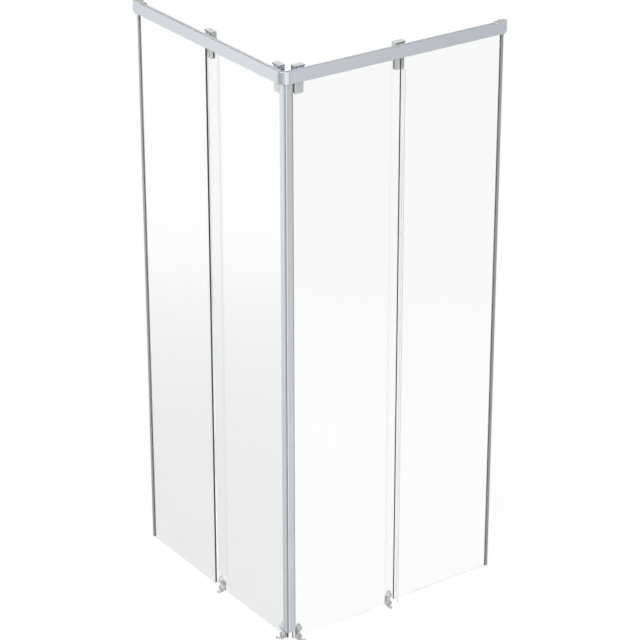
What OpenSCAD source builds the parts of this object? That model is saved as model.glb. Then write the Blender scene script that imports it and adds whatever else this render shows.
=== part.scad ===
// Corner-entry sliding shower door: two fixed glass panes, two sliding glass doors,
// two top rails with a rounded corner, hung on rollers and steadied by bottom guides.
// Each side is drawn once in its own coordinates: s runs along the rail from the outer
// corner, t runs inward from the rail's face and z runs up from the guides' lowest point.
// The left side is the right side mirrored across the diagonal.

/* [Overall] */
// Length of each side, from the outer corner to the wall
side_len = 800; // [760:5:1000]
// Top of the rails above the lowest point of the guides
rail_top = 1886; // [1700:1:2100]
// Bottom edge of the fixed panes above the guides' lowest point
pane_lift = 36; // [30:1:60]
// Bottom edge of the sliding panes above the guides' lowest point
door_lift = 9; // [9:0.5:12]
// How far a sliding pane overlaps the fixed pane when closed
overlap = 26; // [20:1:40]
// Distance from the middle of the side to the fixed pane's free edge
pane_offset = 25; // [15:1:35]
// Room left between an open door's trailing edge and the wall
end_room = 19; // [19:1:60]

/* [Top rail] */
// Height of the rail's front face
rail_h = 37; // [34:1:45]
// Depth of the rail's front box
box_d = 15; // [13:1:20]
// Wall of the rail extrusion
rail_wall = 1.8; // [1.4:0.1:2.2]
// Radius of the rail's outer edges
rail_edge_r = 1.2; // [0.6:0.1:1.4]
// Depth of the open channel along the rail's top
channel_d = 2.5; // [1.5:0.5:4]
// Drop from the rail's top to the track that the rollers run on
track_drop = 23; // [22:1:26]
// Thickness of the track
track_wall = 2; // [1.5:0.1:3]
// Radius of the track's bead
bead_r = 1.5; // [1:0.1:2]
// Distance from the pane groove's rear wall to the middle of the bead
bead_in = 3.7; // [3.5:0.1:5]
// Distance from the middle of the bead to the track's inner edge
track_lip = 3.5; // [3.3:0.1:5]
// Height of the stiffening return along the track's inner edge
return_h = 4; // [2:0.5:6]
// Clearance left along the mitre where the two tracks meet
mitre_gap = 0.6; // [0.4:0.1:2]
// Thickness of the gasket on each side of the fixed pane
gasket_t = 2.5; // [1.5:0.1:4]
// Gap above the fixed pane's top edge in its groove
pane_top_gap = 2; // [1:0.5:4]

/* [Corner connector] */
// Outer radius of the rounded corner, seen from above
corner_r = 27; // [24:1:40]
// Length of the legs that go into the rails
leg_len = 45; // [38:1:80]
// Depth of the recess in the connector's top
corner_recess = 10; // [3:1:15]
// Clearance of legs and spigots inside the rails, on each side
slip = 0.15; // [0.05:0.05:0.3]
// Radius of the rails' fixing screws
rail_screw_r = 2; // [1.5:0.1:2.5]
// Distance from a rail's end to its first fixing screw
screw_inset = 15; // [10:1:16]
// Distance between a rail end's two fixing screws
screw_pitch = 18; // [12:1:20]
// Drop from the rail's top to the fixing screws
screw_drop = 13; // [10:1:15]

/* [Wall fixing] */
// Depth of the wall profile, from the wall
wall_profile_d = 8; // [8:0.5:20]
// Thickness of the wall profile's legs
profile_leg = 1.5; // [1.2:0.1:2]
// Thickness of the wall profile's web against the wall
profile_web = 1.8; // [1.5:0.1:3]
// Gap between the fixed pane's edge and the wall
pane_wall_gap = 3.5; // [3:0.5:5]
// Radius of the wall profile's screw holes
wall_hole_r = 2.6; // [2:0.1:3]
// Distance from the wall profile's ends to its outer screw holes
wall_hole_inset = 120; // [60:10:300]
// Length of the wall bracket's end block
end_block_l = 7; // [5:0.5:10]
// Thickness of the wall bracket's top plate
bracket_plate_t = 3; // [2:0.5:5]
// Length of the wall bracket's top plate on the rail
bracket_plate_l = 34; // [25:1:80]
// Radius of that plate's corners
bracket_plate_r = 2; // [1:0.5:4]
// Length of the wall bracket's spigot inside the rail
spigot_l = 45; // [38:1:80]
// Drop that the end block's lower corner is cut back by
bracket_cut = 8; // [4:1:15]
// Drop from the rail's top to the bracket's ear behind the track's end
ear_drop = 3; // [2:0.5:8]

/* [Glass] */
// Thickness of all four panes
glass_t = 6; // [5:1:8]
// Gap between the top of the sliding panes and the rail's top
door_top_drop = 30; // [28:1:40]
// Radius of the panes' corners
pane_corner_r = 2; // [1:0.5:4]

/* [Closing profile] */
// Width of the closed corner column on each face
column_w = 31; // [28:1:36]
// Gap between the column's front face and the fixed panes
column_gap = 1.5; // [1:0.5:4]
// Wall of the closing profile
column_wall = 1.8; // [1.4:0.1:2.4]
// Radius of the column's side edges
column_edge_r = 5; // [2:0.5:6]
// Radius of the column's outer corner, which the joint splits
column_corner_r = 6; // [3:0.5:8]
// Width of the flat along the closing profile's sharp inner edge
column_tip = 2; // [1:0.5:4]
// Distance of the diagonal faces from the joint between the doors
joint_half = 0.6; // [0.5:0.1:2]
// Drop from the rail's top to the column's top
column_drop = 40; // [39:1:60]
// Height of the column's bottom above the guides' lowest point
column_lift = 48; // [48:1:80]
// Depth of the lips that hold the door glass, behind the column
glass_lip_d = 6; // [4:0.5:6]
// Thickness of those lips
glass_lip_t = 1.6; // [1.2:0.1:2]
// Depth of the glass seat in the column's rear wall
glass_seat = 1; // [0.5:0.1:1.5]
// Clearance of the glass in the lips, on each side
glass_fit = 0.2; // [0.1:0.05:0.5]
// Clearance of the magnet strip in its pocket
magnet_fit = 0.1; // [0.05:0.05:0.2]
// Width of the magnet strip
magnet_w = 14; // [10:1:16]
// Thickness of the magnet strip
magnet_t = 3; // [2:0.5:4]
// Distance of the magnet's face from the joint between the doors
magnet_half_gap = 0.25; // [0.2:0.05:0.5]
// Thickness of the end plugs' plates
plug_plate = 2; // [1:0.5:3]
// Depth of the end plugs inside the profile
plug_d = 10; // [6:1:20]
// Clearance around the end plugs inside the profile
plug_fit = 0.2; // [0.1:0.05:0.4]

/* [Hangers] */
// Distance from the column to the middle of the corner hanger
hanger_from_column = 25; // [23:1:60]
// Distance from the door's trailing edge to the middle of the mid hanger
hanger_from_edge = 18; // [18:1:60]
// Width of the hanger's plate and clamp
hanger_w = 30; // [26:1:32]
// Thickness of the hanger's plate
hanger_t = 4; // [3:0.5:6]
// Radius of the hanger plate's corners
hanger_corner_r = 3; // [1:0.5:4]
// Gap between the track's inner edge and the hanger's plate
hanger_gap = 1; // [0.5:0.1:2]
// How far the clamp block stands proud of the plate
block_proud = 0.8; // [0:0.1:0.9]
// Drop from the rail's top to the clamp block's top
block_drop = 39; // [38:1:45]
// Drop from the rail's top to the clamp's bottom
clamp_drop = 84.5; // [80:0.5:110]
// Radius of the clamp block's front edges
block_edge_r = 3.2; // [1:0.1:3.5]
// Thickness of the clamp pads
pad_t = 1; // [0.5:0.1:2]
// How far the clamp pads stay inside the clamp's outline
pad_inset = 1; // [0.5:0.5:3]
// Thickness of the clamp's back plate
back_t = 4; // [3:0.5:6]
// Radius of the clamp screws
clamp_screw_r = 3; // [2:0.5:3.5]
// Radius of the clamp screws' heads
clamp_head_r = 4.8; // [4.5:0.1:6]
// Height of the clamp screws' heads
clamp_head_h = 2.3; // [1.5:0.1:2.5]
// Depth of the clamp screws' heads below the back plate's face
head_sink = 0.2; // [0.1:0.1:1]
// Radius of the clamp screws' hexagon sockets, across the corners
socket_r = 2; // [1.5:0.1:2.5]
// Depth of those sockets
socket_d = 1.7; // [1:0.1:2]
// Depth of the clamp screws' threads in the hanger
clamp_thread = 2.5; // [2:0.1:3]
// Drop from the rail's top to the upper clamp screw
clamp_screw_drop = 50; // [46:1:55]
// Distance between a hanger's two clamp screws
clamp_screw_pitch = 22; // [18:1:24]
// Radius of the holes in the door glass
glass_hole_r = 5; // [4:0.5:6]
// Width of the hanger's cap
cap_w = 36; // [34:1:44]
// Thickness of the cap's top plate
cap_plate = 4; // [2:0.5:4]
// Wall of the cap's sides
cap_wall = 2; // [1:0.1:2.2]
// How far the cap's top reaches out over the roller
cap_overhang = 5.5; // [4:0.5:6]
// Radius of the cap's corners
cap_corner_r = 2.5; // [2:0.5:4]
// Gap between the cap's side walls and the top of the glass
cap_side_gap = 1.5; // [1:0.5:4]
// How far the cap's rear wall reaches down behind the glass
cap_back_lap = 3.5; // [2:0.5:8]
// Gap between the cap's rear wall and the clamp's back plate
cap_clamp_gap = 0.5; // [0.3:0.1:2]
// Gap between the cap's front wall and the track's bead
cap_track_gap = 2; // [1:0.5:5]

/* [Rollers] */
// Radius of the roller at the bottom of its groove
roller_r = 7.5; // [6.5:0.1:7.6]
// Height of the roller's flanges over its groove
flange_h = 1.5; // [1:0.1:1.7]
// Width of the roller
roller_w = 6; // [5:0.5:6]
// Clearance between the roller and the bead
roll_gap = 0.3; // [0.2:0.1:0.5]
// Radius of the axle pin
axle_r = 3; // [2:0.5:4]
// Running clearance between axle and roller
run_fit = 0.03; // [0.02:0.01:0.08]
// Play of rollers and wheels along their axles, on each side
side_play = 0.3; // [0.2:0.1:0.5]
// Thickness of the axle's head in front of the roller
axle_head_t = 1.3; // [1:0.1:1.5]
// Thickness of the axle's rear head behind the hanger
axle_rear_t = 1.5; // [1:0.1:2]
// Wall of the roller's hub around the axle
roller_hub = 1.2; // [1:0.1:1.5]
// Width of the annular recess on the roller's faces
roller_recess_w = 1.6; // [1:0.1:1.8]
// Depth of that recess
roller_recess_d = 1; // [0.5:0.1:1.5]

/* [Bottom guides] */
// Distance from the column to the middle of the corner guide
guide_from_column = 17; // [17:1:60]
// Distance from the door's trailing edge to the middle of the mid guide
guide_from_edge = 31.5; // [22:0.5:60]
// Radius of the guide wheel
wheel_r = 8.5; // [7:0.5:9]
// Width of the guide wheel
wheel_w = 5; // [4:0.5:5.5]
// Height of the guide wheel's axis
wheel_z = 14.5; // [14:0.5:18]
// Radius of the guide wheel's rounded edges
wheel_edge_r = 1; // [0.5:0.1:1.5]
// Width of the guide wheel's rim outside its recesses
wheel_rim = 1.6; // [1:0.1:2]
// Width of those recesses
wheel_recess_w = 3.2; // [2:0.1:3.4]
// Depth of those recesses
wheel_recess_d = 1; // [0.5:0.1:1.5]
// Radius of the guide wheel's pin
wheel_pin_r = 2; // [1.5:0.1:2.5]
// Depth of that pin in the guide's plate
wheel_pin_in = 3.5; // [2:0.5:3.5]
// Thickness of that pin's head
wheel_head_t = 1; // [0.6:0.1:1.5]
// Gap between the guide wheel and the guide's plate
wheel_gap = 0.5; // [0.3:0.1:1]
// Radius of the guide's upper end
guide_top_r = 8; // [8:0.5:10]
// Height of the top of the guide's plate
guide_top = 58; // [56:1:66]
// Radius of the guide's lower end
guide_foot_r = 9; // [8:0.5:10]
// Width of the guide's plate between its two round ends
guide_waist_w = 9; // [8:0.5:14]
// Gap between the guide and the glass on each side
guide_fit = 0.3; // [0.2:0.1:0.6]
// Thickness of the guide's rear leg
guide_leg_t = 7.5; // [3:0.5:9]
// Height of the top of the guide's rear leg
guide_leg_top = 35; // [30:1:45]
// Width of the guide's rear leg, bridge and foot
guide_leg_w = 10; // [8:0.5:12]
// Thickness of the guide's bridge under the glass
guide_bridge_t = 4; // [3:0.5:5]
// Radius of the guide's lower corners
guide_edge_r = 1; // [0.5:0.1:1.4]
// Reach of the mid guides' toe, from the middle of the foot
toe_reach = 14; // [11:0.5:16]
// Reach of the corner guides' toe, from the middle of the foot
corner_toe_reach = 20; // [14:0.5:22]
// Angle that the corner guides' toe is turned by, away from the corner
corner_toe_turn = 45; // [0:5:45]
// Thickness of the toe
toe_t = 3.5; // [2.5:0.5:4.5]
// Height of the toe's upturned tip
toe_tip_h = 7; // [5:0.5:10]
// How much narrower the toe is than the foot, on each side
toe_inset = 1; // [0.5:0.1:1.5]
// Radius of the edges of the toe's tip
toe_edge_r = 0.8; // [0.4:0.1:1]
// Radius of the push button
button_r = 7; // [5:0.5:7]
// Height of the push button's axis
button_z = 44; // [42:1:48]
// Clearance around the push button
button_fit = 0.1; // [0.05:0.05:0.2]
// Travel of the push button
button_travel = 3; // [2:0.5:3]
// Room left behind the button when it is pressed
button_room = 0.3; // [0.2:0.1:0.5]
// Width of the bevel around the button's face
button_bevel = 1; // [0.5:0.1:1.5]
// Width of the rim around the button's finger dimple
dimple_rim = 3; // [2:0.5:4]
// Depth of that dimple
dimple_d = 0.6; // [0.3:0.1:1]
// Wall of the boss around the button
boss_wall = 1.5; // [1:0.1:2]
// How far the boss stands out from the guide's plate
boss_h = 4.5; // [3:0.5:5]
// How far the button stands out from its boss
button_proud = 3.5; // [3.2:0.1:5]

/* [Seals] */
// Width of the door's edge seal on the glass
seal_w = 8; // [6:1:12]
// Thickness of the edge seal's clip
seal_t = 1; // [0.8:0.1:1.4]
// Clearance of the glass in the edge seal
seal_fit = 0.05; // [0.02:0.01:0.1]
// Thickness of the seal's fin
fin_t = 0.8; // [0.5:0.1:1.2]
// How far the fin leans back along the glass
fin_lean = 6; // [4:0.5:7]
// Clearance between the seal's fin and the fixed pane
fin_gap = 0.5; // [0.3:0.1:1]
// Length of the rubber door stop
stop_l = 16; // [10:1:18]
// Gap between an open door's roller and the stop
stop_gap = 0.5; // [0.3:0.1:2]
// Radius of the door stop's edges
stop_edge_r = 1.5; // [0.5:0.1:2]
// How far gaskets and seals stay back from the profile's front edges
gasket_back = 0.5; // [0.2:0.1:1]

/* [Screw fits] */
// Clearance of a screw or pin in the hole that holds it
thread_fit = 0.05; // [0.02:0.01:0.1]
// Clearance of a screw in the pieces that it passes through
hole_fit = 0.1; // [0.05:0.05:0.2]
// How much deeper a blind hole is than its screw
blind = 0.3; // [0.2:0.1:0.5]

/* [Hidden] */
$fn = 64;
// How far pieces of one solid run into each other, and how far a cut runs past a face
eps = 0.01;
past = 1;

// Places across the side, from the rail's face inward
pane_t0 = box_d + gasket_t;
pane_t1 = pane_t0 + glass_t;
groove_t1 = pane_t1 + gasket_t;
bead_t = groove_t1 + rail_wall + bead_in;
track_t1 = bead_t + track_lip;
hanger_t0 = track_t1 + hanger_gap;
hanger_t1 = hanger_t0 + hanger_t;
block_t0 = hanger_t0 - block_proud;
door_t0 = hanger_t1 + pad_t;
door_t1 = door_t0 + glass_t;
back_t0 = door_t1 + pad_t;
back_t1 = back_t0 + back_t;
column_t0 = pane_t1 + column_gap;
screw_t0 = box_d / 2;
roller_t0 = bead_t - roller_w / 2;
roller_t1 = bead_t + roller_w / 2;
wheel_t1 = hanger_t0 - wheel_gap;
wheel_t0 = wheel_t1 - wheel_w;
guide_t1 = door_t0 - guide_fit;
boss_t0 = hanger_t0 - boss_h;
button_t0 = boss_t0 - button_proud;
boss_r = button_r + button_fit + boss_wall;

// Places along the side, from the outer corner to the wall
column_end = column_t0 + column_w;
door_s0 = column_end - glass_seat;
pane_s0 = side_len / 2 + pane_offset;
door_s1 = pane_s0 + overlap;
door_travel = side_len - door_s1 - end_room;
profile_s0 = side_len - wall_profile_d;
pane_s1 = side_len - pane_wall_gap;
rail_s1 = side_len - end_block_l;
hanger_s = [column_end + hanger_from_column, door_s1 - hanger_from_edge];
guide_s = [column_end + guide_from_column, door_s1 - guide_from_edge];

// Heights
rail_bottom = rail_top - rail_h;
track_z = rail_top - track_drop;
groove_z = track_z - track_wall;
pane_top = groove_z - pane_top_gap;
door_top = rail_top - door_top_drop;
column_top = rail_top - column_drop;
cap_under = rail_top - cap_plate;
flange_r = roller_r + flange_h;
axle_z = track_z + bead_r + roll_gap + roller_r;
bead_top = track_z + bead_r;
block_top = rail_top - block_drop;
cap_back_z = door_top - cap_back_lap;
back_top = cap_back_z - cap_clamp_gap;
clamp_bottom = rail_top - clamp_drop;
clamp_screw_z = [rail_top - clamp_screw_drop, rail_top - clamp_screw_drop - clamp_screw_pitch];
screw_z = rail_top - screw_drop;
wall_hole_z = [pane_lift + wall_hole_inset, (pane_lift + groove_z) / 2, groove_z - wall_hole_inset];

// Placing: one side's coordinates to the whole object's, origin below its middle
module right_side() { translate([-side_len / 2, -side_len / 2, 0]) children(); }
module left_side() { mirror([1, -1, 0]) right_side() children(); }
module both_sides() { right_side() children(); left_side() children(); }

// Drawing aids: outlines swept along s, along t or up z, and round bars along them
module along_s(s0, s1) { translate([s0, 0, 0]) rotate([90, 0, 90]) linear_extrude(s1 - s0) children(); }
module along_t(t0, t1) { translate([0, t1, 0]) rotate([90, 0, 0]) linear_extrude(t1 - t0) children(); }
module up_z(z0, z1) { translate([0, 0, z0]) linear_extrude(z1 - z0) children(); }
module bar_t(s, z, t0, t1, r) { translate([s, t0, z]) rotate([-90, 0, 0]) cylinder(r = r, h = t1 - t0); }
module bar_s(t, z, s0, s1, r) { translate([s0, t, z]) rotate([0, 90, 0]) cylinder(r = r, h = s1 - s0); }
module area(x0, y0, x1, y1) { translate([x0, y0]) square([x1 - x0, y1 - y0]); }
module round_area(x0, y0, x1, y1, r) {
    area(x0 + r, y0, x1 - r, y1);
    area(x0, y0 + r, x1, y1 - r);
    for (x = [x0 + r, x1 - r], y = [y0 + r, y1 - r]) translate([x, y]) circle(r = r);
}
module slab(s0, s1, t0, t1, z0, z1) { translate([s0, t0, z0]) cube([s1 - s0, t1 - t0, z1 - z0]); }

// What is cut off a square corner at the origin to round it
module corner_cut(r) {
    difference() {
        area(-past, -past, r, r);
        translate([r, r]) circle(r = r);
    }
}

// A pan-head screw along t: its shank starts at t0 and its head stands on the face at t1
module pan_screw(s, z, t0, t1, r) {
    head_h = 1.1 * r;
    head_r = 1.85 * r;
    crown_r = 1.3 * r;
    slot_l = 1.7 * r;
    slot_w = 0.35 * r;
    difference() {
        union() {
            bar_t(s, z, t0, t1, r);
            translate([s, t1, z]) rotate([-90, 0, 0]) cylinder(r1 = head_r, r2 = crown_r, h = head_h);
        }
        for (turn = [0, 90]) translate([s, t1 + head_h, z]) rotate([0, turn, 0])
            cube([slot_l, head_h, slot_w], center = true);
    }
}

// Fixed frame
module box_section() { round_area(0, -rail_h, box_d, 0, rail_edge_r); }
module chamber_section(gap) {
    area(rail_wall + gap, -rail_h + rail_wall + gap, box_d - rail_wall - gap, -channel_d - rail_wall - gap);
}
module rail_section() {
    difference() {
        box_section();
        area(rail_wall, -channel_d, box_d - rail_wall, past);
        chamber_section(0);
    }
    area(box_d - eps, -track_drop - track_wall, track_t1, -track_drop);
    area(groove_t1, -rail_h, groove_t1 + rail_wall, -track_drop - eps);
    area(track_t1 - rail_wall, -track_drop - track_wall - return_h, track_t1, -track_drop - eps);
    translate([bead_t, -track_drop]) circle(r = bead_r);
}
module rail_screw_holes() {
    for (s = [corner_r + screw_inset, corner_r + screw_inset + screw_pitch,
              rail_s1 - screw_inset, rail_s1 - screw_inset - screw_pitch])
        bar_t(s, screw_z, box_d - rail_wall - past, box_d + past, rail_screw_r + hole_fit);
}
module top_rail() {
    mitre_s = corner_r - past;
    mitre_t = track_t1 + past;
    color("lightsteelblue") difference() {
        translate([0, 0, rail_top]) along_s(corner_r, rail_s1) rail_section();
        rail_screw_holes();
        up_z(rail_bottom - past, rail_top + past) polygon([
            [mitre_s, mitre_s - mitre_gap], [mitre_t, mitre_t - mitre_gap], [mitre_s, mitre_t]]);
    }
}
module connector_leg() {
    difference() {
        translate([0, 0, rail_top]) along_s(corner_r - eps, corner_r + leg_len) chamber_section(slip);
        for (i = [0, 1]) bar_t(corner_r + screw_inset + i * screw_pitch, screw_z,
            screw_t0 - blind, box_d, rail_screw_r + thread_fit);
    }
}
module connector_sweep() {
    translate([corner_r, corner_r]) rotate([0, 0, 180]) rotate_extrude(angle = 90) children();
}
module corner_connector() {
    color("silver") right_side() {
        difference() {
            translate([0, 0, rail_top]) connector_sweep()
                translate([corner_r, 0]) mirror([1, 0]) box_section();
            translate([0, 0, rail_top - corner_recess]) connector_sweep()
                area(corner_r - box_d + rail_wall, 0, corner_r - rail_wall, corner_recess + past);
        }
        connector_leg();
        mirror([1, -1, 0]) connector_leg();
    }
}
module connector_screws() {
    color("gray") both_sides() for (i = [0, 1])
        pan_screw(corner_r + screw_inset + i * screw_pitch, screw_z, screw_t0, box_d, rail_screw_r);
}
module bracket_screws() {
    color("gray") both_sides() for (i = [0, 1])
        pan_screw(rail_s1 - screw_inset - i * screw_pitch, screw_z, screw_t0, box_d, rail_screw_r);
}
module wall_bracket() {
    plate_top = rail_top + bracket_plate_t;
    ear_t = (box_d + track_t1) / 2;
    color("gainsboro") difference() {
        union() {
            along_t(0, box_d) polygon([
                [rail_s1, rail_bottom], [side_len, rail_bottom + bracket_cut],
                [side_len, plate_top], [rail_s1, plate_top]]);
            up_z(rail_top, plate_top) {
                round_area(rail_s1 - bracket_plate_l, 0, side_len, box_d, bracket_plate_r);
                area(rail_s1, 0, side_len, box_d);
            }
            translate([0, 0, rail_top]) along_s(rail_s1 - spigot_l, rail_s1 + eps) chamber_section(slip);
            slab(rail_s1, side_len, box_d - eps, track_t1, groove_z, rail_top - ear_drop);
        }
        for (i = [0, 1]) bar_t(rail_s1 - screw_inset - i * screw_pitch, screw_z,
            screw_t0 - blind, box_d, rail_screw_r + thread_fit);
        bar_s(ear_t, screw_z, rail_s1 - past, side_len + past, wall_hole_r);
        translate([rail_s1 - eps, ear_t, screw_z]) rotate([0, 90, 0])
            cylinder(r1 = 2 * wall_hole_r, r2 = wall_hole_r, h = wall_hole_r);
    }
}
module wall_profile() {
    color("silver") difference() {
        up_z(pane_lift, groove_z) area(profile_s0, box_d, side_len, groove_t1);
        up_z(pane_lift - past, groove_z + past) area(profile_s0 - past, box_d + profile_leg,
            side_len - profile_web, groove_t1 - profile_leg);
        for (z = wall_hole_z) bar_s((pane_t0 + pane_t1) / 2, z, profile_s0, side_len + past, wall_hole_r);
    }
}
module fixed_pane() {
    color("azure", 0.5) along_t(pane_t0, pane_t1)
        round_area(pane_s0, pane_lift, pane_s1, pane_top, pane_corner_r);
}
module rail_gaskets() {
    color("dimgray") both_sides() difference() {
        up_z(rail_bottom + gasket_back, groove_z) area(pane_s0, box_d, profile_s0, groove_t1);
        up_z(rail_bottom - past, pane_top) area(pane_s0 - past, pane_t0, side_len, pane_t1);
    }
}
module wall_seals() {
    color("dimgray") both_sides() up_z(pane_lift, pane_top) {
        area(profile_s0 + gasket_back, box_d + profile_leg, pane_s1, pane_t0);
        area(profile_s0 + gasket_back, pane_t1, pane_s1, groove_t1 - profile_leg);
    }
}
module door_stops() {
    stop_s0 = hanger_s[1] + door_travel + flange_r + stop_gap;
    color("dimgray") both_sides() difference() {
        along_t(roller_t0, roller_t1)
            round_area(stop_s0, track_z, stop_s0 + stop_l, axle_z + flange_r / 2, stop_edge_r);
        bar_s(bead_t, track_z, stop_s0 - past, stop_s0 + stop_l + past, bead_r + hole_fit);
    }
}

// Sliding doors
module door_pane() {
    color("azure", 0.5) difference() {
        along_t(door_t0, door_t1) round_area(door_s0, door_lift, door_s1, door_top, pane_corner_r);
        for (s = hanger_s, z = clamp_screw_z) bar_t(s, z, door_t0 - past, door_t1 + past, glass_hole_r);
    }
}

// Closing profile, drawn from above: the joint runs along the diagonal, and in the magnet's own
// coordinates it is the line y = joint_half, with the profile's diagonal face at y = 0
module magnet_frame() {
    middle = (column_t0 + column_end) / 2;
    shift = joint_half / sqrt(2);
    translate([middle + shift, middle - shift]) rotate(45) children();
}
module column_outline() {
    gap = joint_half * sqrt(2);
    difference() {
        polygon([
            [column_t0 + gap, column_t0], [column_end, column_t0],
            [column_end, column_end - gap - column_tip],
            [column_end - column_tip, column_end - gap - column_tip]]);
        translate([column_end, column_t0]) rotate(90) corner_cut(column_edge_r);
        translate([column_t0, column_t0]) corner_cut(column_corner_r);
    }
}
module column_chamber(gap) {
    wall = column_wall + gap;
    inner = (joint_half + wall) * sqrt(2);
    back = column_end - glass_seat - wall;
    difference() {
        polygon([
            [column_t0 + wall + inner, column_t0 + wall], [back, column_t0 + wall],
            [back, back - inner]]);
        translate([back, column_t0 + wall]) rotate(90)
            corner_cut(max(column_edge_r - column_wall, gap + eps));
        magnet_frame() area(-magnet_w / 2 - wall, -magnet_t - wall, magnet_w / 2 + wall, past);
    }
}
module glass_slot(s1) { area(door_s0, door_t0 - glass_fit, s1, door_t1 + glass_fit); }
module closing_profile() {
    lip_t = glass_fit + glass_lip_t;
    magnet_back = joint_half - magnet_half_gap - magnet_t;
    color("silver") up_z(column_lift + plug_plate, column_top - plug_plate) difference() {
        union() {
            column_outline();
            area(column_end - eps, door_t0 - lip_t, column_end + glass_lip_d, door_t1 + lip_t);
        }
        column_chamber(0);
        glass_slot(column_end + glass_lip_d + past);
        magnet_frame() area(-magnet_w / 2 - magnet_fit, magnet_back - magnet_fit,
            magnet_w / 2 + magnet_fit, past);
    }
}
module magnet_strip() {
    magnet_face = joint_half - magnet_half_gap;
    color("dimgray") up_z(column_lift + plug_plate, column_top - plug_plate) magnet_frame()
        area(-magnet_w / 2, magnet_face - magnet_t, magnet_w / 2, magnet_face);
}
module plug_outline() {
    difference() {
        column_outline();
        glass_slot(column_end + past);
    }
}
module profile_plugs() {
    color("gainsboro") {
        up_z(column_lift, column_lift + plug_plate) plug_outline();
        up_z(column_lift + plug_plate - eps, column_lift + plug_plate + plug_d) column_chamber(plug_fit);
        up_z(column_top - plug_plate, column_top) plug_outline();
        up_z(column_top - plug_plate - plug_d, column_top - plug_plate + eps) column_chamber(plug_fit);
    }
}

// Hangers and their clamps
module hanger(s) {
    s0 = s - hanger_w / 2;
    s1 = s + hanger_w / 2;
    color("silver") difference() {
        union() {
            along_t(hanger_t0, hanger_t1) round_area(s0, clamp_bottom, s1, cap_under, hanger_corner_r);
            up_z(clamp_bottom, block_top) difference() {
                round_area(s0, block_t0, s1, hanger_t1 + block_edge_r, block_edge_r);
                area(s0 - past, hanger_t1, s1 + past, hanger_t1 + block_edge_r + past);
            }
        }
        bar_t(s, axle_z, hanger_t0 - past, hanger_t1 + past, axle_r + thread_fit);
        for (z = clamp_screw_z)
            bar_t(s, z, hanger_t1 - clamp_thread - blind, hanger_t1 + past, clamp_screw_r + thread_fit);
    }
}
module hanger_cap(s) {
    s0 = s - cap_w / 2;
    s1 = s + cap_w / 2;
    cap_t0 = hanger_t0 - cap_overhang;
    up_z(cap_under, rail_top) round_area(s0, cap_t0, s1, back_t1, cap_corner_r);
    // side walls on both sides of the hanger, joined by a rear wall that laps the glass
    for (z0 = [door_top + cap_side_gap, cap_back_z]) up_z(z0, cap_under + eps) intersection() {
        difference() {
            round_area(s0, hanger_t0 - cap_corner_r, s1, back_t1, cap_corner_r);
            area(s0 + cap_wall, hanger_t0 - cap_corner_r - past, s1 - cap_wall, back_t1 - cap_wall);
        }
        area(s0, z0 == cap_back_z ? back_t1 - cap_wall : hanger_t0, s1, back_t1);
    }
    // the wall nearer to the corner reaches forward and closes the end of the roller's space
    up_z(bead_top + cap_track_gap, cap_under + eps) intersection() {
        round_area(s0, cap_t0, s1, back_t1, cap_corner_r);
        area(s0, cap_t0, s0 + cap_wall, hanger_t0 + eps);
    }
}
module hanger_caps() { color("gainsboro") for (s = hanger_s) hanger_cap(s); }
module clamp_backs() {
    color("silver") for (s = hanger_s) difference() {
        up_z(clamp_bottom, back_top) difference() {
            round_area(s - hanger_w / 2, back_t0 - block_edge_r, s + hanger_w / 2, back_t1, block_edge_r);
            area(s - hanger_w, back_t0 - block_edge_r - past, s + hanger_w, back_t0);
        }
        for (z = clamp_screw_z) {
            bar_t(s, z, back_t0 - past, back_t1 + past, clamp_screw_r + hole_fit);
            bar_t(s, z, back_t1 - head_sink - clamp_head_h, back_t1 + past, clamp_head_r + 2 * hole_fit);
        }
    }
}
module clamp_pads() {
    half = hanger_w / 2 - pad_inset;
    color("dimgray") for (s = hanger_s, t = [hanger_t1, door_t1]) difference() {
        along_t(t, t + pad_t)
            round_area(s - half, clamp_bottom + pad_inset, s + half, back_top - pad_inset, hanger_corner_r);
        for (z = clamp_screw_z) bar_t(s, z, t - past, t + pad_t + past, clamp_screw_r + 2 * hole_fit);
    }
}
module clamp_screws() {
    head_t1 = back_t1 - head_sink;
    color("gray") for (s = hanger_s, z = clamp_screw_z) difference() {
        union() {
            bar_t(s, z, hanger_t1 - clamp_thread, head_t1 - eps, clamp_screw_r);
            bar_t(s, z, head_t1 - clamp_head_h, head_t1, clamp_head_r);
        }
        bar_t(s, z, head_t1 - socket_d, head_t1 + past, socket_r, $fn = 6);
    }
}

// Rollers on their axles
module axle_pins() {
    collar_r = 1.4 * axle_r;
    head_r = 1.5 * axle_r;
    pin_t0 = roller_t0 - side_play;
    color("gray") for (s = hanger_s) {
        bar_t(s, axle_z, pin_t0, hanger_t1 + eps, axle_r);
        bar_t(s, axle_z, pin_t0 - axle_head_t, pin_t0 + eps, head_r);
        bar_t(s, axle_z, roller_t1 + side_play, hanger_t0, collar_r);
        bar_t(s, axle_z, hanger_t1, hanger_t1 + axle_rear_t, collar_r);
    }
}
module roller(s) {
    color("white") translate([s, bead_t, axle_z]) rotate([-90, 0, 0]) rotate_extrude() difference() {
        area(axle_r + run_fit, -roller_w / 2, flange_r, roller_w / 2);
        translate([roller_r + roll_gap + bead_r, 0]) circle(r = bead_r + roll_gap);
        for (face = [-1, 1]) translate([axle_r + roller_hub, face * roller_w / 2])
            area(0, -roller_recess_d, roller_recess_w, roller_recess_d);
    }
}

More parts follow.
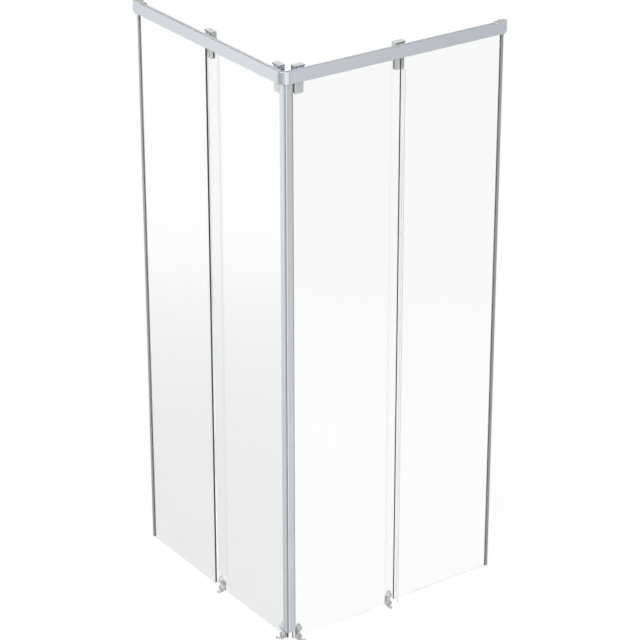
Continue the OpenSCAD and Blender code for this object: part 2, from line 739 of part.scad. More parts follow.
// Bottom guides: a plate in front of the glass, a bridge under it and a leg behind it
module toe(s, reach, turn) {
    half = guide_leg_w / 2 - toe_inset;
    translate([s, guide_t1 - guide_leg_w / 2, 0]) {
        linear_extrude(toe_t) {
            circle(r = half + toe_inset / 2);
            rotate(turn) area(-half, toe_edge_r - reach, half, 0);
        }
        rotate([0, 0, turn]) along_s(-half, half)
            round_area(-reach, 0, toe_t - reach, toe_tip_h, toe_edge_r);
    }
}
module guide_plate(s) {
    foot_half = guide_leg_w / 2;
    top_z = guide_top - guide_top_r;
    along_t(hanger_t0, guide_t1) {
        translate([s, top_z]) circle(r = guide_top_r);
        translate([s, button_z]) circle(r = boss_r);
        translate([s, wheel_z]) circle(r = guide_foot_r);
        area(s - guide_top_r, button_z, s + guide_top_r, top_z);
        area(s - guide_waist_w / 2, wheel_z, s + guide_waist_w / 2, button_z);
        round_area(s - foot_half, 0, s + foot_half, wheel_z, guide_edge_r);
    }
}
module guide(s, reach, turn) {
    bridge_top = door_lift - guide_fit;
    bridge_z = bridge_top - guide_bridge_t;
    leg_t0 = door_t1 + guide_fit;
    leg_t1 = leg_t0 + guide_leg_t;
    half = guide_leg_w / 2;
    color("gainsboro") difference() {
        union() {
            guide_plate(s);
            bar_t(s, button_z, boss_t0, hanger_t0 + eps, boss_r);
            along_s(s - half, s + half) {
                area(hanger_t0, bridge_z, leg_t1 - guide_edge_r, bridge_top);
                round_area(leg_t0, bridge_z, leg_t1, guide_leg_top, guide_edge_r);
            }
            toe(s, reach, turn);
        }
        bar_t(s, button_z, boss_t0 - past, hanger_t0 + button_travel + button_room, button_r + button_fit);
        bar_t(s, wheel_z, hanger_t0 - past, hanger_t0 + wheel_pin_in + blind, wheel_pin_r + thread_fit);
    }
}
module guide_pins() {
    head_r = 1.7 * wheel_pin_r;
    pin_t0 = wheel_t0 - side_play;
    color("gray") for (s = guide_s) {
        bar_t(s, wheel_z, pin_t0, hanger_t0 + wheel_pin_in, wheel_pin_r);
        bar_t(s, wheel_z, pin_t0 - wheel_head_t, pin_t0 + eps, head_r);
    }
}
module guide_wheel(s) {
    half = wheel_w / 2;
    color("white") translate([s, (wheel_t0 + wheel_t1) / 2, wheel_z]) rotate([-90, 0, 0])
        rotate_extrude() difference() {
            union() {
                area(wheel_pin_r + run_fit, -half, wheel_r - wheel_edge_r, half);
                round_area(wheel_pin_r + wheel_edge_r, -half, wheel_r, half, wheel_edge_r);
            }
            for (face = [-half, half]) translate([wheel_r - wheel_rim - wheel_recess_w, face])
                area(0, -wheel_recess_d, wheel_recess_w, wheel_recess_d);
        }
}
module button(s) {
    color("whitesmoke") difference() {
        union() {
            bar_t(s, button_z, button_t0 + button_bevel, hanger_t0, button_r);
            translate([s, button_t0, button_z]) rotate([-90, 0, 0])
                cylinder(r1 = button_r - button_bevel, r2 = button_r, h = button_bevel + eps);
        }
        bar_t(s, button_z, button_t0 - past, button_t0 + dimple_d, button_r - dimple_rim);
    }
}
module edge_seal() {
    clip_t = seal_t + seal_fit;
    fin_t1 = door_t0 - seal_t;
    fin_t0 = pane_t1 + fin_gap;
    color("whitesmoke", 0.6) up_z(door_lift + pane_corner_r, clamp_bottom - pane_corner_r) {
        difference() {
            area(door_s1 - seal_w, door_t0 - clip_t, door_s1 + clip_t, door_t1 + clip_t);
            area(door_s1 - seal_w - past, door_t0 - seal_fit, door_s1 + seal_fit, door_t1 + seal_fit);
        }
        polygon([
            [door_s1, fin_t1], [door_s1 - fin_t, fin_t1],
            [door_s1 - fin_t - fin_lean, fin_t0], [door_s1 - fin_lean, fin_t0]]);
    }
}

// Right and left copies of what each door carries
module top_rail_right() { right_side() top_rail(); }
module top_rail_left() { left_side() top_rail(); }
module wall_bracket_right() { right_side() wall_bracket(); }
module wall_bracket_left() { left_side() wall_bracket(); }
module wall_profile_right() { right_side() wall_profile(); }
module wall_profile_left() { left_side() wall_profile(); }
module fixed_pane_right() { right_side() fixed_pane(); }
module fixed_pane_left() { left_side() fixed_pane(); }

top_rail_right();
top_rail_left();
corner_connector();
connector_screws();
wall_bracket_right();
wall_bracket_left();
bracket_screws();
wall_profile_right();
wall_profile_left();
fixed_pane_right();
fixed_pane_left();
rail_gaskets();
wall_seals();
door_stops();
right_side() door_pane();  // right_door_pane
right_side() closing_profile();  // right_closing_profile
right_side() magnet_strip();  // right_magnet_strip
right_side() profile_plugs();  // right_profile_plugs
right_side() hanger(hanger_s[0]);  // right_hanger_corner
right_side() hanger(hanger_s[1]);  // right_hanger_mid
right_side() hanger_caps();  // right_hanger_caps
right_side() clamp_backs();  // right_clamp_backs
right_side() clamp_pads();  // right_clamp_pads
right_side() clamp_screws();  // right_clamp_screws
right_side() axle_pins();  // right_axle_pins
right_side() guide(guide_s[0], corner_toe_reach, corner_toe_turn);  // right_guide_corner
right_side() guide(guide_s[1], toe_reach, 0);  // right_guide_mid
right_side() guide_pins();  // right_guide_pins
right_side() edge_seal();  // right_edge_seal
right_side() roller(hanger_s[0]);  // right_roller_corner
right_side() roller(hanger_s[1]);  // right_roller_mid
right_side() guide_wheel(guide_s[0]);  // right_guide_wheel_corner
right_side() guide_wheel(guide_s[1]);  // right_guide_wheel_mid
right_side() button(guide_s[0]);  // right_button_corner
right_side() button(guide_s[1]);  // right_button_mid
left_side() door_pane();  // left_door_pane
left_side() closing_profile();  // left_closing_profile
left_side() magnet_strip();  // left_magnet_strip
left_side() profile_plugs();  // left_profile_plugs
left_side() hanger(hanger_s[0]);  // left_hanger_corner
left_side() hanger(hanger_s[1]);  // left_hanger_mid
left_side() hanger_caps();  // left_hanger_caps
left_side() clamp_backs();  // left_clamp_backs
left_side() clamp_pads();  // left_clamp_pads
left_side() clamp_screws();  // left_clamp_screws
left_side() axle_pins();  // left_axle_pins
left_side() guide(guide_s[0], corner_toe_reach, corner_toe_turn);  // left_guide_corner
left_side() guide(guide_s[1], toe_reach, 0);  // left_guide_mid
left_side() guide_pins();  // left_guide_pins
left_side() edge_seal();  // left_edge_seal
left_side() roller(hanger_s[0]);  // left_roller_corner
left_side() roller(hanger_s[1]);  // left_roller_mid
left_side() guide_wheel(guide_s[0]);  // left_guide_wheel_corner
left_side() guide_wheel(guide_s[1]);  // left_guide_wheel_mid
left_side() button(guide_s[0]);  // left_button_corner
left_side() button(guide_s[1]);  // left_button_mid
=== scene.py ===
"""Corner-entry sliding shower door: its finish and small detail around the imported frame."""

import math

import bpy
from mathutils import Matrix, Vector


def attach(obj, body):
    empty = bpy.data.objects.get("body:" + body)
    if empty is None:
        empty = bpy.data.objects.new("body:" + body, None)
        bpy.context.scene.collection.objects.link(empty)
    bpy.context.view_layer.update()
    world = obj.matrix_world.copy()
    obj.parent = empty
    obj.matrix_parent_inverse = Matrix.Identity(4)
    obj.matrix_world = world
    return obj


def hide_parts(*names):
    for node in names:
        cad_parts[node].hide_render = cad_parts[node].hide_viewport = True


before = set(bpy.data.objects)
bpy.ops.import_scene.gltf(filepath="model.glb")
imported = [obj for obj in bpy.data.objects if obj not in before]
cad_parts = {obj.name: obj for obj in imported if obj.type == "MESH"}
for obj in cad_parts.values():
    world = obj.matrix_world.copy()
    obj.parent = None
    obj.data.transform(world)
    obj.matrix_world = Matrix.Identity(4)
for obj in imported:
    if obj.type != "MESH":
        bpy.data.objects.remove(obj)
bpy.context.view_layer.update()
MM = 0.001
SIDES = ("right", "left")
PLACES = ("corner", "mid")
# The axis that each side runs along: x for the right one, y for the left one
ALONG = {"right": 0, "left": 1}


# Camera
CAMERA_PLACE = (-4.2882, -6.1254, 4.3555)
CAMERA_TILT = 65.017
CAMERA_TURN = -35.046
CAMERA_LENS = 147.98


def add_camera():
    """The photograph's view: a long lens, looking down at the outer corner."""
    bpy.ops.object.camera_add(
        location=CAMERA_PLACE,
        rotation=(math.radians(CAMERA_TILT), 0, math.radians(CAMERA_TURN)),
    )
    camera = bpy.context.object
    camera.data.sensor_width = 36
    camera.data.lens = CAMERA_LENS
    camera.data.clip_end = 50
    bpy.context.scene.camera = camera


# Node helpers
# Noise seldom leaves this range, so patterns are stretched from it to their own.
NOISE_LOW = 0.3
NOISE_HIGH = 0.7
# The colour sockets of a Mix node, which share their names with its number sockets
MIX_SHARE = 0
MIX_FIRST = 6
MIX_SECOND = 7
MIX_RESULT = 2


def new_material(name):
    """A new material, with its nodes and their links."""
    material = bpy.data.materials.new(name)
    material.use_nodes = True
    return material, material.node_tree.nodes, material.node_tree.links


def noise(nodes, links, stretch, detail):
    """Noise that sits on the piece, scaled along each axis so that it can run along a bar."""
    place = nodes.new("ShaderNodeTexCoord")
    mapping = nodes.new("ShaderNodeMapping")
    mapping.inputs["Scale"].default_value = stretch
    pattern = nodes.new("ShaderNodeTexNoise")
    pattern.inputs["Scale"].default_value = 1.0
    pattern.inputs["Detail"].default_value = detail
    links.new(place.outputs["Object"], mapping.inputs["Vector"])
    links.new(mapping.outputs["Vector"], pattern.inputs["Vector"])
    return pattern.outputs["Fac"]


def between(nodes, links, factor, low, high):
    """A number that follows the pattern between two values."""
    scale = nodes.new("ShaderNodeMapRange")
    scale.inputs["From Min"].default_value = NOISE_LOW
    scale.inputs["From Max"].default_value = NOISE_HIGH
    scale.inputs["To Min"].default_value = low
    scale.inputs["To Max"].default_value = high
    links.new(factor, scale.inputs["Value"])
    return scale.outputs["Result"]


def colour_between(nodes, links, factor, low, high):
    """A colour that follows the pattern between two colours."""
    ramp = nodes.new("ShaderNodeValToRGB")
    dark, light = ramp.color_ramp.elements
    dark.position = NOISE_LOW
    light.position = NOISE_HIGH
    dark.color = (*low, 1)
    light.color = (*high, 1)
    links.new(factor, ramp.inputs["Fac"])
    return ramp.outputs["Color"]


def bump(nodes, links, factor, shader, strength, distance):
    """Relief that follows the pattern."""
    relief = nodes.new("ShaderNodeBump")
    relief.inputs["Strength"].default_value = strength
    relief.inputs["Distance"].default_value = distance
    links.new(factor, relief.inputs["Height"])
    links.new(relief.outputs["Normal"], shader.inputs["Normal"])


def joined(nodes, links, operation, first, second):
    """The result of an operation on a socket and another socket or a number."""
    node = nodes.new("ShaderNodeMath")
    node.operation = operation
    links.new(first, node.inputs[0])
    if isinstance(second, float):
        node.inputs[1].default_value = second
    else:
        links.new(second, node.inputs[1])
    return node.outputs["Value"]


def mixed(nodes, links, share, first, second):
    """Two greys mixed by a share."""
    mix = nodes.new("ShaderNodeMix")
    mix.data_type = "RGBA"
    links.new(share, mix.inputs[MIX_SHARE])
    links.new(first, mix.inputs[MIX_FIRST])
    links.new(second, mix.inputs[MIX_SECOND])
    return mix.outputs[MIX_RESULT]


def mixed_shader(nodes, links, share, first, second):
    """Two shaders mixed by a share."""
    mix = nodes.new("ShaderNodeMixShader")
    links.new(share, mix.inputs["Fac"])
    links.new(first, mix.inputs[1])
    links.new(second, mix.inputs[2])
    return mix.outputs["Shader"]


# Materials
def grained_metal(name, stretch, colour, spread, roughness, metallic):
    """Anodised or plated metal with fine grain lines along one axis."""
    material, nodes, links = new_material(name)
    shader = nodes["Principled BSDF"]
    lines = noise(nodes, links, stretch, detail=6.0)
    clouds = noise(nodes, links, (9, 9, 9), detail=3.0)
    low = tuple(c * (1 - spread) for c in colour)
    high = tuple(min(1.0, c * (1 + spread)) for c in colour)
    links.new(colour_between(nodes, links, lines, low, high), shader.inputs["Base Color"])
    links.new(between(nodes, links, clouds, roughness - 0.04, roughness + 0.05),
              shader.inputs["Roughness"])
    shader.inputs["Metallic"].default_value = metallic
    bump(nodes, links, lines, shader, strength=0.25, distance=0.04 * MM)
    return material


def moulded(name, colour, roughness, pebble, depth, coat=0.0):
    """Moulded plastic or rubber with a fine tool texture."""
    material, nodes, links = new_material(name)
    shader = nodes["Principled BSDF"]
    grain = noise(nodes, links, (pebble, pebble, pebble), detail=3.0)
    clouds = noise(nodes, links, (30, 30, 30), detail=2.0)
    low = tuple(c * 0.95 for c in colour)
    high = tuple(min(1.0, c * 1.04) for c in colour)
    links.new(colour_between(nodes, links, clouds, low, high), shader.inputs["Base Color"])
    links.new(between(nodes, links, grain, roughness - 0.05, roughness + 0.06),
              shader.inputs["Roughness"])
    shader.inputs["Coat Weight"].default_value = coat
    shader.inputs["Coat Roughness"].default_value = 0.2
    bump(nodes, links, grain, shader, strength=0.3, distance=depth)
    return material


def pane_glass():
    """Clear float glass: a trace of green, hardly any texture, and faint smears in its gloss."""
    material, nodes, links = new_material("clear_float_glass")
    shader = nodes["Principled BSDF"]
    smears = noise(nodes, links, (5, 5, 2), detail=3.0)
    links.new(colour_between(nodes, links, smears, (0.994, 1.0, 0.998), (0.999, 1.0, 1.0)),
              shader.inputs["Base Color"])
    links.new(between(nodes, links, smears, 0.0, 0.012), shader.inputs["Roughness"])
    shader.inputs["Transmission Weight"].default_value = 1.0
    shader.inputs["IOR"].default_value = 1.52
    shader.inputs["Coat Weight"].default_value = 0.5
    shader.inputs["Coat Roughness"].default_value = 0.0
    return material


def pane_edge_painted_dark():
    """The ground and polished edge of the glass, painted near black as painted shade for the darkness one
    sees looking into its depth.
    """
    material, nodes, links = new_material("edge_of_glass_painted_dark")
    shader = nodes["Principled BSDF"]
    bands = noise(nodes, links, (60, 60, 4), detail=4.0)
    links.new(colour_between(nodes, links, bands, (0.018, 0.021, 0.024), (0.038, 0.042, 0.046)),
              shader.inputs["Base Color"])
    links.new(between(nodes, links, bands, 0.12, 0.24), shader.inputs["Roughness"])
    shader.inputs["Coat Weight"].default_value = 0.4
    return material


def clear_vinyl():
    """The soft clear seal on the doors' trailing edges, which hardly bends the light."""
    material, nodes, links = new_material("clear_vinyl")
    shader = nodes["Principled BSDF"]
    haze = noise(nodes, links, (40, 40, 6), detail=3.0)
    links.new(colour_between(nodes, links, haze, (0.96, 0.97, 0.97), (0.985, 0.99, 0.99)),
              shader.inputs["Base Color"])
    links.new(between(nodes, links, haze, 0.02, 0.07), shader.inputs["Roughness"])
    shader.inputs["Transmission Weight"].default_value = 1.0
    shader.inputs["IOR"].default_value = 1.05
    return material


# Stretches that draw grain lines along an axis, and even grains for castings and turned parts
ALONG_X = (6, 900, 900)
ALONG_Y = (900, 6, 900)
ALONG_Z = (900, 900, 6)
EVEN = (300, 300, 300)
FINE = (500, 500, 500)
RAIL_GRAIN = {"right": ALONG_X, "left": ALONG_Y}
ALUMINIUM = (0.75, 0.79, 0.85)
# Painted shade: a darker copy of the rail aluminium for the rails' upward faces, standing in for the shade
# on their tops
TOP_SHADE_ALUMINIUM = (0.69, 0.71, 0.745)
COLUMN_ALUMINIUM = (0.77, 0.81, 0.875)
GREY_ALUMINIUM = (0.5, 0.505, 0.515)
CHROME = (0.84, 0.85, 0.86)
CAST_METAL = (0.78, 0.79, 0.8)
STEEL = (0.6, 0.61, 0.63)
rail_metal = {
    side: grained_metal(f"satin_aluminium_{side}_rail", RAIL_GRAIN[side], ALUMINIUM,
                        spread=0.02, roughness=0.36, metallic=0.2)
    for side in SIDES
}
# Painted shade: the rails' upward faces take this darker copy of their aluminium
rail_top_shade_metal = {
    side: grained_metal(f"painted_shade_aluminium_{side}_rail", RAIL_GRAIN[side], TOP_SHADE_ALUMINIUM,
                        spread=0.02, roughness=0.45, metallic=0.2)
    for side in SIDES
}
corner_metal = grained_metal("satin_aluminium_corner", ALONG_Z, ALUMINIUM,
                             spread=0.02, roughness=0.26, metallic=0.6)
upright_metal = grained_metal("satin_aluminium_upright", ALONG_Z, COLUMN_ALUMINIUM,
                              spread=0.02, roughness=0.22, metallic=0.45)
wall_metal = grained_metal("grey_aluminium_upright", ALONG_Z, GREY_ALUMINIUM,
                           spread=0.04, roughness=0.4, metallic=0.2)
cap_metal = grained_metal("satin_chrome", ALONG_Z, CHROME, spread=0.02, roughness=0.26, metallic=0.85)
clamp_metal = grained_metal("plated_casting", EVEN, CAST_METAL, spread=0.02, roughness=0.3, metallic=0.3)
screw_metal = grained_metal("machined_steel", FINE, STEEL, spread=0.05, roughness=0.3, metallic=1.0)
glass = pane_glass()
# Painted shade: a near-black colour for the panes' free and top edges
painted_dark_edge = pane_edge_painted_dark()
vinyl = clear_vinyl()
rubber = moulded("grey_rubber", (0.2, 0.205, 0.215), roughness=0.62, pebble=700, depth=0.05 * MM)
seal_rubber = moulded("light_grey_rubber", (0.62, 0.625, 0.63), roughness=0.6, pebble=700, depth=0.05 * MM)
magnet_rubber = moulded("magnet_rubber", (0.5, 0.51, 0.52), roughness=0.5, pebble=700, depth=0.04 * MM)
bracket_plastic = moulded("grey_plastic", (0.78, 0.8, 0.82), roughness=0.42, pebble=900, depth=0.04 * MM)
guide_plastic = moulded("guide_plastic", (0.82, 0.83, 0.84), roughness=0.34, pebble=900,
                        depth=0.03 * MM, coat=0.3)
button_plastic = moulded("button_plastic", (0.8, 0.81, 0.82), roughness=0.3, pebble=900,
                         depth=0.03 * MM, coat=0.3)
nylon = moulded("white_nylon", (0.8, 0.81, 0.81), roughness=0.38, pebble=900, depth=0.03 * MM)
tyre_nylon = moulded("grey_nylon", (0.66, 0.67, 0.68), roughness=0.42, pebble=900, depth=0.03 * MM)


# Mesh helpers
# The closing profiles' outer faces run from the corner to the far edge, and are slightly crowned.
COLUMN_CORNER = -375 * MM
COLUMN_FAR_EDGE = -344 * MM
CROWN = 1.2 * MM
CROWN_DEPTH = 6 * MM
EDGE_ROLL = 3.2 * MM
ROLL_START = 0.55
CROWN_CUTS = 13
FIRST_CUT = 5 * MM
CUT_STEP = 2 * MM
# Doubles are merged below this distance, and faces that turn by less than this angle are joined.
MERGE_DISTANCE = 2e-6
FLAT_ANGLE = 0.6


def select_only(piece):
    """Makes one object the selected and active one."""
    bpy.ops.object.select_all(action="DESELECT")
    piece.select_set(True)
    bpy.context.view_layer.objects.active = piece


def apply_modifiers(piece):
    """Makes every modifier's result the piece's own mesh."""
    select_only(piece)
    for modifier in list(piece.modifiers):
        bpy.ops.object.modifier_apply(modifier=modifier.name)


def crown(piece, side):
    """Bows a closing profile's outer face out by a little, so it shades like a drawn extrusion."""
    across = ALONG[side]
    out = 1 - across
    direction = [0, 0, 0]
    direction[across] = 1
    for step in range(CROWN_CUTS):
        bpy.ops.object.mode_set(mode="EDIT")
        bpy.ops.mesh.select_all(action="SELECT")
        place = [0, 0, 0]
        place[across] = COLUMN_CORNER + FIRST_CUT + CUT_STEP * step
        bpy.ops.mesh.bisect(plane_co=place, plane_no=direction)
        bpy.ops.object.mode_set(mode="OBJECT")
    half = (COLUMN_FAR_EDGE - COLUMN_CORNER) / 2
    for vertex in piece.data.vertices:
        depth = (vertex.co[out] - COLUMN_CORNER) / CROWN_DEPTH
        share = (vertex.co[across] - COLUMN_CORNER - half) / half
        if depth < 1 and abs(share) < 1.01:
            roll = max(0, (share - ROLL_START) / (1 - ROLL_START))
            bow = CROWN * (1 - share * share) - EDGE_ROLL * roll * roll
            vertex.co[out] -= bow * (1 - depth)


def rounded_copy(node, width, segments=2, angle=30, crowned=None):
    """A copy of a CAD node with its sharp edges rounded, which stands for the node."""
    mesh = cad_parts[node].data.copy()
    piece = bpy.data.objects.new(node + "_finished", mesh)
    bpy.context.scene.collection.objects.link(piece)
    select_only(piece)
    bpy.ops.object.mode_set(mode="EDIT")
    bpy.ops.mesh.select_all(action="SELECT")
    bpy.ops.mesh.remove_doubles(threshold=MERGE_DISTANCE)
    bpy.ops.mesh.dissolve_limited(angle_limit=math.radians(FLAT_ANGLE))
    bpy.ops.object.mode_set(mode="OBJECT")
    if crowned:
        crown(piece, crowned)
    edge = piece.modifiers.new("edges", "BEVEL")
    edge.width = width
    edge.segments = segments
    edge.limit_method = "ANGLE"
    edge.angle_limit = math.radians(angle)
    edge.miter_outer = "MITER_ARC"
    apply_modifiers(piece)
    bpy.ops.object.shade_smooth_by_angle(angle=math.radians(angle))
    level = piece.modifiers.new("level faces", "WEIGHTED_NORMAL")
    level.keep_sharp = True
    apply_modifiers(piece)
    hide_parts(node)
    return piece


def dress(piece, material, body):
    """Gives a piece its material and its body."""
    piece.data.materials.clear()
    piece.data.materials.append(material)
    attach(piece, body)


# Panes
def glass_pane(node, side, body):
    """A pane with ground arrises, whose free edge and top edge are painted dark, as painted shade for how
    dark glass looks along its depth.
    """
    piece = rounded_copy(node, 0.7 * MM, segments=1, angle=60)
    dress(piece, glass, body)
    piece.data.materials.append(painted_dark_edge)
    for face in piece.data.polygons:
        # Painted shade: the faces towards the corner and the top faces take the dark edge colour
        towards_corner = face.normal[ALONG[side]] < -0.5
        face.material_index = 1 if towards_corner or face.normal.z > 0.5 else 0


for side in SIDES:
    glass_pane(f"fixed_pane_{side}", side, "root")
    glass_pane(f"{side}_door_pane", side, f"{side}_door")


# Fixed frame
def top_rail(side):
    """A rail whose upward faces are painted a little darker than its side faces, as painted shade on its
    top.
    """
    rail = rounded_copy(f"top_rail_{side}", 0.25 * MM)
    dress(rail, rail_metal[side], "root")
    rail.data.materials.append(rail_top_shade_metal[side])
    for face in rail.data.polygons:
        # Painted shade: faces that look upward take the darker copy
        face.material_index = 1 if face.normal.z > 0.3 else 0


for side in SIDES:
    top_rail(side)
    dress(rounded_copy(f"wall_profile_{side}", 0.2 * MM), wall_metal, "root")
    dress(rounded_copy(f"wall_bracket_{side}", 0.5 * MM, 3), bracket_plastic, "root")
dress(rounded_copy("corner_connector", 0.3 * MM), corner_metal, "root")
for node in ("connector_screws", "bracket_screws"):
    dress(rounded_copy(node, 0.15 * MM), screw_metal, "root")
for node, material in (("rail_gaskets", rubber), ("door_stops", rubber), ("wall_seals", seal_rubber)):
    dress(rounded_copy(node, 0.25 * MM), material, "root")

# Sliding doors
for side in SIDES:
    body = f"{side}_door"
    profile = rounded_copy(f"{side}_closing_profile", 0.25 * MM, crowned=side)
    dress(profile, upright_metal, body)
    dress(rounded_copy(f"{side}_magnet_strip", 0.3 * MM), magnet_rubber, body)
    plugs = rounded_copy(f"{side}_profile_plugs", 0.25 * MM, crowned=side)
    dress(plugs, bracket_plastic, body)
    dress(rounded_copy(f"{side}_hanger_caps", 0.7 * MM, 3), cap_metal, body)
    dress(rounded_copy(f"{side}_clamp_backs", 0.4 * MM, 3), clamp_metal, body)
    dress(rounded_copy(f"{side}_clamp_pads", 0.2 * MM), rubber, body)
    dress(rounded_copy(f"{side}_clamp_screws", 0.25 * MM), screw_metal, body)
    dress(rounded_copy(f"{side}_axle_pins", 0.25 * MM), screw_metal, body)
    dress(rounded_copy(f"{side}_guide_pins", 0.2 * MM), screw_metal, body)
    dress(rounded_copy(f"{side}_edge_seal", 0.15 * MM), vinyl, body)
    for place in PLACES:
        dress(rounded_copy(f"{side}_hanger_{place}", 0.4 * MM, 3), clamp_metal, body)
        dress(rounded_copy(f"{side}_guide_{place}", 0.4 * MM, 3), guide_plastic, body)
        for kind, material, slot in (
            ("roller", nylon, "white_nylon"),
            ("guide_wheel", tyre_nylon, "white_nylon"),
            ("button", button_plastic, "light_plastic"),
        ):
            node = f"{side}_{kind}_{place}"
            dress(rounded_copy(node, 0.25 * MM), material, node)


# Studio
LAMP_AIM = (0, 0, 1.0)
LAMP_SIZE = 2.5
FLOOR_RADIUS = 14
FLOOR_HEIGHT = -0.5 * MM
# The floor takes the object's shadow near the middle, and fades to plain white between these radii.
FADE_START = 0.7
FADE_END = 2.6
SOFT_LIGHT = 0.24
# The world counts itself as one bounce of the ray that sees it, and a surface doesn't.
SURFACE_DEPTH = 0
WORLD_DEPTH = 1
# Greys of the studio in gloss, by the height of a direction, from -1 straight down to 1 straight up
RIGHT_SKY = (
    (-1, 0.8), (-0.53, 0.75), (-0.48, 1.0), (-0.45, 0.9), (-0.4, 0.28), (0.05, 0.28), (0.25, 0.8),
)
LEFT_SKY = ((-1, 0.8), (-0.6, 1.0), (0.05, 1.0), (0.25, 0.8))
FAR_SKY = ((-1, 0.3), (-0.6, 0.05), (0.0, 0.05), (0.2, 0.8))
DARK_STRIP = ((-1, 0.3), (-0.6, 0.14), (0.1, 0.14), (0.4, 0.8))
GLOW = ((-1, 0.8), (-0.6, 1.0), (0.1, 1.0), (0.4, 1.0))
LEFT_PANE_SKY = (
    (-1, 0.8), (-0.65, 0.8), (-0.56, 0.43), (-0.48, 0.43), (-0.447, 0.48), (-0.415, 0.72),
    (-0.385, 1.0), (0.05, 1.0), (0.25, 0.8),
)
RIGHT_PANE_SKY = (
    (-1, 0.8), (-0.53, 0.85), (-0.48, 1.0), (-0.45, 0.94), (-0.4, 0.62), (0.05, 0.62), (0.25, 0.8),
)
# Each part of the studio has a heading, in degrees from x, and its fade's outer and inner angles.
STUDIO_PARTS = (
    (127, 109, 71, LEFT_SKY),
    (37, 71, 44, FAR_SKY),
    (178, 47, 31, DARK_STRIP),
    (262, 29, 16, GLOW),
    (122.5, 7, 3.5, LEFT_PANE_SKY),
    (307, 9, 4.5, RIGHT_PANE_SKY),
)


def add_lamp(name, place, power):
    """A soft square lamp that faces the object."""
    bpy.ops.object.light_add(type="AREA", location=place)
    lamp = bpy.context.object
    lamp.name = name
    lamp.data.shape = "SQUARE"
    lamp.data.size = LAMP_SIZE
    lamp.data.energy = power
    lamp.rotation_euler = (Vector(LAMP_AIM) - Vector(place)).to_track_quat("-Z", "Y").to_euler()


def not_reflected(nodes, links, rays, own_depth):
    """A share that is 1 for rays that nothing has reflected yet, also when they passed through glass."""
    reflections = joined(nodes, links, "SUBTRACT", rays["Ray Depth"], rays["Transmission Depth"])
    return joined(nodes, links, "LESS_THAN", reflections, own_depth + 0.5)


def faded(nodes, links, distance, near, far):
    """A number that goes from one value near the object to another on the open floor."""
    fade = nodes.new("ShaderNodeMapRange")
    fade.inputs["From Min"].default_value = FADE_START
    fade.inputs["From Max"].default_value = FADE_END
    fade.inputs["To Min"].default_value = near
    fade.inputs["To Max"].default_value = far
    links.new(distance, fade.inputs["Value"])
    return fade.outputs["Result"]


def floor_material():
    """White to the eye, with a faint shadow around the object, and clear to reflected rays."""
    material, nodes, links = new_material("pale_floor")
    shaded = nodes["Principled BSDF"]
    shaded.inputs["Base Color"].default_value = (0.9, 0.9, 0.9, 1)
    shaded.inputs["Roughness"].default_value = 0.8
    distance = nodes.new("ShaderNodeVectorMath")
    distance.operation = "LENGTH"
    links.new(nodes.new("ShaderNodeTexCoord").outputs["Object"], distance.inputs[0])
    white = nodes.new("ShaderNodeEmission")
    links.new(faded(nodes, links, distance.outputs["Value"], 1.06, 1.0), white.inputs["Strength"])
    whiteness = faded(nodes, links, distance.outputs["Value"], 0.88, 1.0)
    floor = mixed_shader(nodes, links, whiteness, shaded.outputs["BSDF"], white.outputs["Emission"])
    clear = nodes.new("ShaderNodeBsdfTransparent").outputs["BSDF"]
    rays = nodes.new("ShaderNodeLightPath").outputs
    direct = not_reflected(nodes, links, rays, SURFACE_DEPTH)
    seen = mixed_shader(nodes, links, direct, clear, floor)
    links.new(seen, nodes["Material Output"].inputs["Surface"])
    return material


def add_floor():
    """A pale floor just under the object."""
    bpy.ops.object.select_all(action="DESELECT")
    bpy.ops.mesh.primitive_circle_add(
        vertices=96, radius=FLOOR_RADIUS, fill_type="NGON", location=(0, 0, FLOOR_HEIGHT)
    )
    floor = bpy.context.object
    floor.name = "floor"
    floor.data.materials.append(floor_material())
    floor.visible_glossy = False
    floor.visible_diffuse = False


def brightness_by_height(nodes, links, height, steps):
    """A grey that follows the height of a direction."""
    shift = nodes.new("ShaderNodeMapRange")
    shift.inputs["From Min"].default_value = -1.0
    links.new(height, shift.inputs["Value"])
    ramp = nodes.new("ShaderNodeValToRGB")
    ramp.color_ramp.interpolation = "CARDINAL"
    marks = ramp.color_ramp.elements
    while len(marks) < len(steps):
        marks.new(0.5)
    for mark, (level, grey) in zip(marks, steps):
        mark.position = (level + 1) / 2
        mark.color = (grey, grey, grey, 1)
    links.new(shift.outputs["Result"], ramp.inputs["Fac"])
    return ramp.outputs["Color"]


def towards(nodes, links, level, heading, outer, inner):
    """A share that is 1 within the inner angle of a heading, and 0 beyond the outer one."""
    turn = math.radians(heading)
    dot = nodes.new("ShaderNodeVectorMath")
    dot.operation = "DOT_PRODUCT"
    dot.inputs[1].default_value = (math.cos(turn), math.sin(turn), 0)
    links.new(level, dot.inputs[0])
    share = nodes.new("ShaderNodeMapRange")
    share.interpolation_type = "SMOOTHSTEP"
    share.inputs["From Min"].default_value = math.cos(math.radians(outer))
    share.inputs["From Max"].default_value = math.cos(math.radians(inner))
    links.new(dot.outputs["Value"], share.inputs["Value"])
    return share.outputs["Result"]


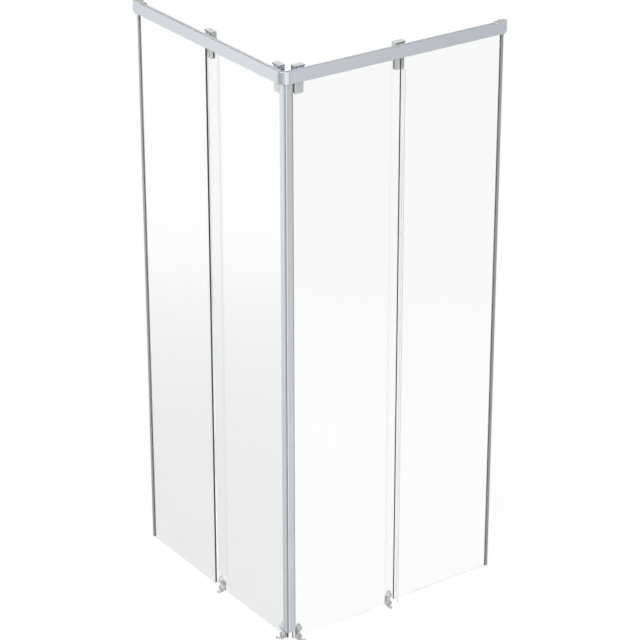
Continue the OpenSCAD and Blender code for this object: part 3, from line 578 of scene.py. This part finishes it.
def studio_sky(nodes, links):
    """The studio that gloss sees: bright, dim and dark parts by heading and height."""
    direction = nodes.new("ShaderNodeTexCoord").outputs["Generated"]
    flat = nodes.new("ShaderNodeVectorMath")
    flat.operation = "MULTIPLY"
    flat.inputs[1].default_value = (1, 1, 0)
    links.new(direction, flat.inputs[0])
    level = nodes.new("ShaderNodeVectorMath")
    level.operation = "NORMALIZE"
    links.new(flat.outputs["Vector"], level.inputs[0])
    split = nodes.new("ShaderNodeSeparateXYZ")
    links.new(direction, split.inputs["Vector"])
    height = split.outputs["Z"]
    sky = brightness_by_height(nodes, links, height, RIGHT_SKY)
    for heading, outer, inner, steps in STUDIO_PARTS:
        share = towards(nodes, links, level.outputs["Vector"], heading, outer, inner)
        sky = mixed(nodes, links, share, sky, brightness_by_height(nodes, links, height, steps))
    return sky


def add_world():
    """White behind the object and in its glass, the studio in its gloss, and soft light on the rest."""
    world = bpy.data.worlds.new("studio")
    bpy.context.scene.world = world
    world.use_nodes = True
    nodes, links = world.node_tree.nodes, world.node_tree.links
    nodes.clear()
    white = nodes.new("ShaderNodeBackground")
    white.inputs["Color"].default_value = (1, 1, 1, 1)
    soft = nodes.new("ShaderNodeBackground")
    soft.inputs["Color"].default_value = (SOFT_LIGHT, SOFT_LIGHT, SOFT_LIGHT, 1)
    gloss = nodes.new("ShaderNodeBackground")
    links.new(studio_sky(nodes, links), gloss.inputs["Color"])
    rays = nodes.new("ShaderNodeLightPath").outputs
    direct = not_reflected(nodes, links, rays, WORLD_DEPTH)
    through = joined(nodes, links, "MULTIPLY", rays["Is Transmission Ray"], direct)
    behind = joined(nodes, links, "MAXIMUM", rays["Is Camera Ray"], through)
    shiny = joined(nodes, links, "MAXIMUM", rays["Is Glossy Ray"], rays["Is Transmission Ray"])
    lit = mixed_shader(nodes, links, shiny, soft.outputs["Background"], gloss.outputs["Background"])
    seen = mixed_shader(nodes, links, behind, lit, white.outputs["Background"])
    out = nodes.new("ShaderNodeOutputWorld")
    links.new(seen, out.inputs["Surface"])


add_camera()
add_floor()
add_world()
add_lamp("side_lamp", (-4.5, -1.0, 3.6), power=107)
add_lamp("front_lamp", (-3.2, -5.0, 3.3), power=178)
bpy.context.scene.view_settings.view_transform = "Standard"
